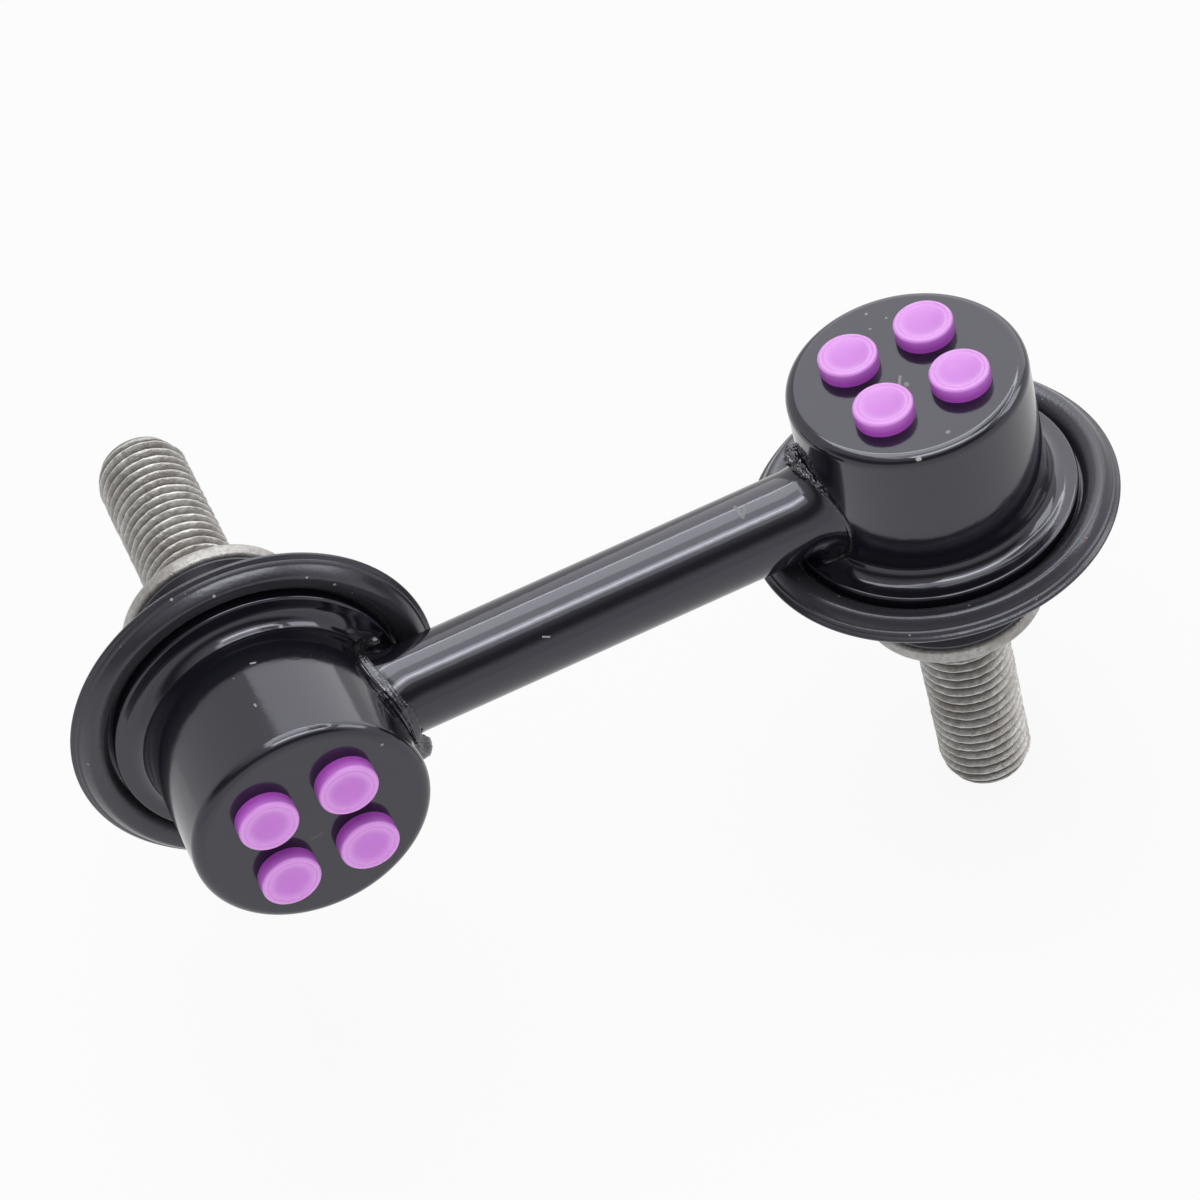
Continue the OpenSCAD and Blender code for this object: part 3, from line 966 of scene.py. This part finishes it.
def tip_mesh():
    """The stud's end face with its hex socket."""
    tip = SEAT_REACH + THREAD_LENGTH
    verts, faces = [], []
    levels = ((None, tip), (HEX_MOUTH, tip), (1.0, tip - HEX_MOUTH_DEPTH), (1.0, tip - HEX_DEPTH))
    for scale, height in levels:
        for i in range(STEPS_AROUND):
            angle = 2 * math.pi * i / STEPS_AROUND
            radius = TIP_RADIUS
            if scale:
                radius = scale * HEX_APOTHEM / math.cos(angle % (math.pi / 3) - math.pi / 6)
            verts.append((radius * math.cos(angle), radius * math.sin(angle), height))
    for level in range(len(levels) - 1):
        a, b = level * STEPS_AROUND, (level + 1) * STEPS_AROUND
        for i in range(STEPS_AROUND):
            j = (i + 1) % STEPS_AROUND
            faces.append((a + i, a + j, b + j, b + i))
    verts.append((0, 0, tip - HEX_DEPTH - HEX_CONE))
    last = (len(levels) - 1) * STEPS_AROUND
    for i in range(STEPS_AROUND):
        faces.append((last + i, last + (i + 1) % STEPS_AROUND, len(verts) - 1))
    mesh = bpy.data.meshes.new("stud_tip")
    mesh.from_pydata(verts, [], faces)
    crest = mesh.attributes.new("crest", "FLOAT", "POINT").data
    for item in crest:
        item.value = TIP_TONE
    return mesh


def stud_mesh(side, tree, finish):
    """The stud: neck, groove for the boot, round collar, screw thread and end face."""
    outline = [(0.0, BALL_FLAT), (NECK_RADIUS, BALL_FLAT),
               (NECK_RADIUS, GROOVE_BOTTOM - GROOVE_RUN),
               (GROOVE_RADIUS, GROOVE_BOTTOM), (GROOVE_RADIUS, COLLAR_BOTTOM)]
    edge, shoulder = COLLAR_RADIUS - COLLAR_EDGE, COLLAR_RADIUS - COLLAR_ROUND
    outline += arc((edge, COLLAR_BOTTOM + COLLAR_EDGE), COLLAR_EDGE, -90, 0, 6)
    outline += arc((shoulder, SEAT_REACH - COLLAR_ROUND), COLLAR_ROUND, 0, 90, 10)
    outline += [(0.0, SEAT_REACH)]
    shank = lathe("stud_shank", outline)
    crest = shank.attributes.new("crest", "FLOAT", "POINT").data
    for item in crest:
        item.value = SHANK_TONE
    length = THREAD_LENGTH + THREAD_SINK
    turns = math.ceil(length / THREAD_PITCH) + 1
    thread = grow(tree, bpy.data.meshes.new("thread_base"), {
        "Outside Radius": THREAD_RADIUS, "Pitch": THREAD_PITCH, "Depth": THREAD_DEPTH,
        "Length": length, "Tip Radius": TIP_RADIUS, "Tip Slope": TIP_SLOPE, "Wear": THREAD_WEAR,
        "Seed": THREAD_SEEDS[side], "Steps Around": STEPS_AROUND + 1,
        "Steps Along": turns * STEPS_PER_TURN + 1, "Turns": float(turns), "Finish": finish})
    thread.transform(Matrix.Translation((0, 0, SEAT_REACH - THREAD_SINK)))
    screw = join_meshes("screw", (thread, tip_mesh()))
    work = bmesh.new()
    work.from_mesh(screw)
    bmesh.ops.remove_doubles(work, verts=work.verts, dist=SCREW_MERGE)
    bmesh.ops.holes_fill(work, edges=work.edges, sides=0)
    work.to_mesh(screw)
    work.free()
    mesh = join_meshes(side + "_stud", (shank, screw))
    mesh.transform(PLACES[side])
    tidy_mesh(mesh, sharp=55)
    return mesh


ROD_MARKS = (
    ((-19.82, -0.01, 25.0), (-19.66, -1.6, 24.7), 0.17, 0.35),
    ((-18.76, -0.43, 24.98), (-19.7, -1.6, 24.7), 0.14, 0.35),
    ((-42.38, -3.66, 23.12), (-41.79, -3.81, 22.9), 0.1, 0.8),
)
CUP_MARKS = {
    "left": (((-70.74, -11.6, 19.03), (-69.65, -11.6, 19.2), 0.22, 0.12),
             ((-61.4, -11.6, 26.9), (-61.3, -11.6, 26.9), 0.14, 0.7),
             ((-69.3, -0.1, 32.48), (-68.9, -0.2, 32.45), 0.13, 0.7),
             ((-70.69, -5.3, 32.48), (-70.65, -5.6, 32.48), 0.12, 0.7)),
    "right": (((-3.9, -11.02, 31.78), (-3.75, -11.06, 31.78), 0.24, 1.0),
              ((-0.59, -0.09, 32.1), (-1.16, -1.05, 32.1), 0.16, 0.45),
              ((-0.52, -1.5, 32.1), (-0.5, -1.4, 32.1), 0.3, 0.35),
              ((0.36, 9.88, 32.1), (0.38, 9.88, 32.1), 0.15, 0.7),
              ((1.77, 8.2, 32.1), (1.79, 8.2, 32.1), 0.15, 0.6),
              ((-0.22, 7.69, 32.1), (-0.2, 7.69, 32.1), 0.15, 0.5)),
}


def build_link():
    """Every piece of the link; all but the boots ride on a body."""
    rod_paint = black_paint("rod_paint", ROD_MARKS)
    resin = purple_resin()
    steel = stud_steel()
    rubber = boot_rubber()
    flash = weld_flash()
    ball = inner_steel("ball_steel", BALL_STEEL, 0.18)
    ring = inner_steel("ring_steel", RING_STEEL, 0.34)
    thread, bead, peg = thread_tree(), bead_tree(), peg_tree()

    fit_piece("painted_rod", rod_mesh(), rod_paint, "link", "link_rod")
    for side in SIDES:
        paint = black_paint(side + "_cup_paint", CUP_MARKS[side])
        fit_piece(side + "_painted_cup", cup_mesh(side), paint, "link",
                  side + "_cup")
        fit_piece(side + "_weld_bead", weld_mesh(side, bead, flash), flash, "link",
                  side + "_weld")
        fit_piece(side + "_resin_seat", seat_mesh(side, peg, resin), resin, "link",
                  side + "_ball_seat")
        fit_piece(side + "_threaded_stud", stud_mesh(side, thread, steel), steel, side + "_stud",
                  side + "_stud")
        boot = new_piece(side + "_rubber_boot", boot_mesh(side), rubber)
        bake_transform(boot)
        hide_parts(side + "_boot")
        for node, finish in ((side + "_ball", ball), (side + "_retaining_ring", ring)):
            cad = frame["nodes"][node]
            cad.data.materials.clear()
            cad.data.materials.append(finish)


# Studio

CAMERA_PLACE = (-0.085343, -0.281427, 0.309117)
CAMERA_FORWARD = (0.12326, 0.69315, -0.71018)
CAMERA_UP = (0.40704, 0.61735, 0.67320)
CAMERA_LENS = 124.352
CAMERA_SENSOR = 36
CAMERA_NEAR = 0.01
AIM = Vector((-0.035, 0.010, 0.020))

FLOOR_SIZE = 0.3
FLOOR_SIDES = 96
FLOOR_SHIFT = 0.05
FLOOR_GAP = 0.0005
FLOOR_WHITE = (0.85, 0.85, 0.85, 1)
FLOOR_GLOW = 0.9
WHITE = (1, 1, 1, 1)

# The room's dark part lies this way in x and y, between these heights of a direction.
ROOM_WAY = (-0.45, -0.9)
ROOM_EDGE = (0.05, 0.3)
ROOM_LOW = (0.15, 0.42)
ROOM_HIGH = (0.6, 0.92)
ROOM_GLOW = 0.12
SURROUND_GLOW = 0.85
FILL = 0.58
FILL_FRONT = 1.45 * FILL
FILL_EDGE = (0.0, 0.8)

# Each strip's name, its two corners in x and y, its height, its glow and its turn in degrees.
STRIPS = (
    ("back_strip", (-0.10, 0.34), (0.36, 0.40), 0.55, 4.5, 0),
    ("middle_strip", (-0.12, 0.07), (0.30, 0.34), 0.57, 1.6, 0),
    ("front_strip", (-0.12, -0.27), (0.38, -0.11), 0.58, 3.0, 0),
    ("front_core", (-0.12, -0.21), (0.36, -0.165), 0.575, 5.0, 0),
    ("front_skirt", (-0.15, -0.41), (0.45, -0.27), 0.59, 1.2, 0),
    ("right_strip", (0.41, -0.06), (0.46, 0.26), 0.57, 5.0, 0),
    ("near_corner", (0.31, -0.145), (0.49, -0.095), 0.57, 5.0, 45),
    ("far_corner", (0.31, 0.29), (0.49, 0.34), 0.57, 5.0, -45),
    ("left_strip", (-0.17, -0.11), (-0.12, 0.34), 0.57, 3.0, 0),
)


def seen_directly(tree):
    """1 for camera, glossy and transmission rays, and 0 for the rays that light the object."""
    path = put(tree, "ShaderNodeLightPath").outputs
    either = maths(tree, "MAXIMUM", path["Is Camera Ray"], path["Is Glossy Ray"])
    return maths(tree, "MAXIMUM", either, path["Is Transmission Ray"])


def pale_floor():
    """A pale floor under the link, which keeps a faint shadow."""
    finish = bpy.data.materials.new("floor_white")
    finish.use_nodes = True
    tree = finish.node_tree
    tree.nodes.clear()
    plain = put(tree, "ShaderNodeBsdfDiffuse", {"Color": FLOOR_WHITE})
    glow = put(tree, "ShaderNodeEmission", {"Color": WHITE})
    share = maths(tree, "MULTIPLY", seen_directly(tree), FLOOR_GLOW)
    mix = put(tree, "ShaderNodeMixShader", {0: share, 1: plain.outputs[0], 2: glow.outputs[0]})
    put(tree, "ShaderNodeOutputMaterial", {"Surface": mix.outputs[0]})
    mesh = bpy.data.meshes.new("floor")
    centre, height = (AIM.x, AIM.y + FLOOR_SHIFT), cad_low.z - FLOOR_GAP
    corners = [(x, y, height) for x, y in arc(centre, FLOOR_SIZE, 0, 360, FLOOR_SIDES)[:-1]]
    mesh.from_pydata(corners, [], [list(range(FLOOR_SIDES))])
    mesh.materials.append(finish)
    floor = bpy.data.objects.new("floor", mesh)
    bpy.context.scene.collection.objects.link(floor)


def area_lamp(name, width, height, glow, lights_object):
    """An area light; glow is its brightness, where 1 is a white surface."""
    lamp = bpy.data.lights.new(name, "AREA")
    lamp.shape = "RECTANGLE"
    lamp.size, lamp.size_y = width, height
    lamp.energy = glow * math.pi * width * height
    box = bpy.data.objects.new(name, lamp)
    box.visible_diffuse = lights_object
    bpy.context.scene.collection.objects.link(box)
    return box


def hung_strip(name, low, high, height, glow, turn):
    """A strip light that hangs level and shows in the gloss only, between two corners in x and y."""
    strip = area_lamp(name, high[0] - low[0], high[1] - low[1], glow, False)
    strip.location = ((low[0] + high[0]) / 2, (low[1] + high[1]) / 2, height)
    strip.rotation_euler = (0, 0, math.radians(turn))


def soft_box(name, direction, distance, width, height, glow, upright=False, lights_object=True):
    """A soft box that faces the link."""
    box = area_lamp(name, width, height, glow, lights_object)
    away = Vector(direction).normalized()
    if upright:
        across = Vector((0, 0, 1)).cross(away).normalized()
    else:
        across = (Vector((1, 0, 0)) - away * away.x).normalized()
    turn = Matrix((across, away.cross(across), away)).transposed().to_4x4()
    box.matrix_world = Matrix.Translation(AIM + away * distance) @ turn


def soft_world():
    """A white surround, dark above the floor in front and on the left, as a studio's room is."""
    world = bpy.data.worlds.new("studio")
    bpy.context.scene.world = world
    world.use_nodes = True
    tree = world.node_tree
    tree.nodes.clear()
    way = put(tree, "ShaderNodeSeparateXYZ", {
        0: put(tree, "ShaderNodeTexCoord").outputs["Generated"]}).outputs
    facing = maths(tree, "MULTIPLY_ADD", way["X"], ROOM_WAY[0],
                   maths(tree, "MULTIPLY", way["Y"], ROOM_WAY[1]))
    above = maths(tree, "MULTIPLY", spread(tree, way["Z"], *ROOM_LOW),
                  spread(tree, way["Z"], *ROOM_HIGH, 1.0, 0.0))
    room = maths(tree, "MULTIPLY", spread(tree, facing, *ROOM_EDGE), above)
    fill = spread(tree, facing, *FILL_EDGE, FILL, FILL_FRONT)
    path = put(tree, "ShaderNodeLightPath").outputs
    mirrored = spread(tree, room, 0.0, 1.0, SURROUND_GLOW, ROOM_GLOW)
    change = maths(tree, "SUBTRACT", mirrored, fill)
    lit = maths(tree, "MULTIPLY_ADD", path["Is Glossy Ray"], change, fill)
    straight = maths(tree, "MAXIMUM", path["Is Camera Ray"], path["Is Transmission Ray"])
    glow = put(tree, "ShaderNodeBackground", {
        "Color": WHITE, "Strength": maths(tree, "MAXIMUM", lit, straight)})
    put(tree, "ShaderNodeOutputWorld", {"Surface": glow.outputs[0]})


def studio():
    """Floor, light and camera."""
    pale_floor()
    soft_world()
    soft_box("overhead", (0.12, 0.10, 0.98), 0.6, 0.35, 0.72, 1.6)
    for strip in STRIPS:
        hung_strip(*strip)
    soft_box("back_panel", (0.585, 0.638, 0.5), 0.62, 0.80, 0.60, 1.2, True, False)
    soft_box("right_panel", (0.85, -0.15, 0.5), 0.6, 0.25, 0.25, 3.2, True, False)
    lens = bpy.data.cameras.new("camera")
    lens.lens = CAMERA_LENS
    lens.sensor_width = CAMERA_SENSOR
    lens.clip_start = CAMERA_NEAR
    camera = bpy.data.objects.new("camera", lens)
    forward, up = Vector(CAMERA_FORWARD).normalized(), Vector(CAMERA_UP)
    right = forward.cross(up).normalized()
    up = right.cross(forward)
    turn = Matrix((right, up, -forward)).transposed().to_4x4()
    camera.matrix_world = Matrix.Translation(CAMERA_PLACE) @ turn
    bpy.context.scene.collection.objects.link(camera)
    bpy.context.scene.camera = camera
    bpy.context.scene.view_settings.view_transform = "Standard"


build_link()
studio()
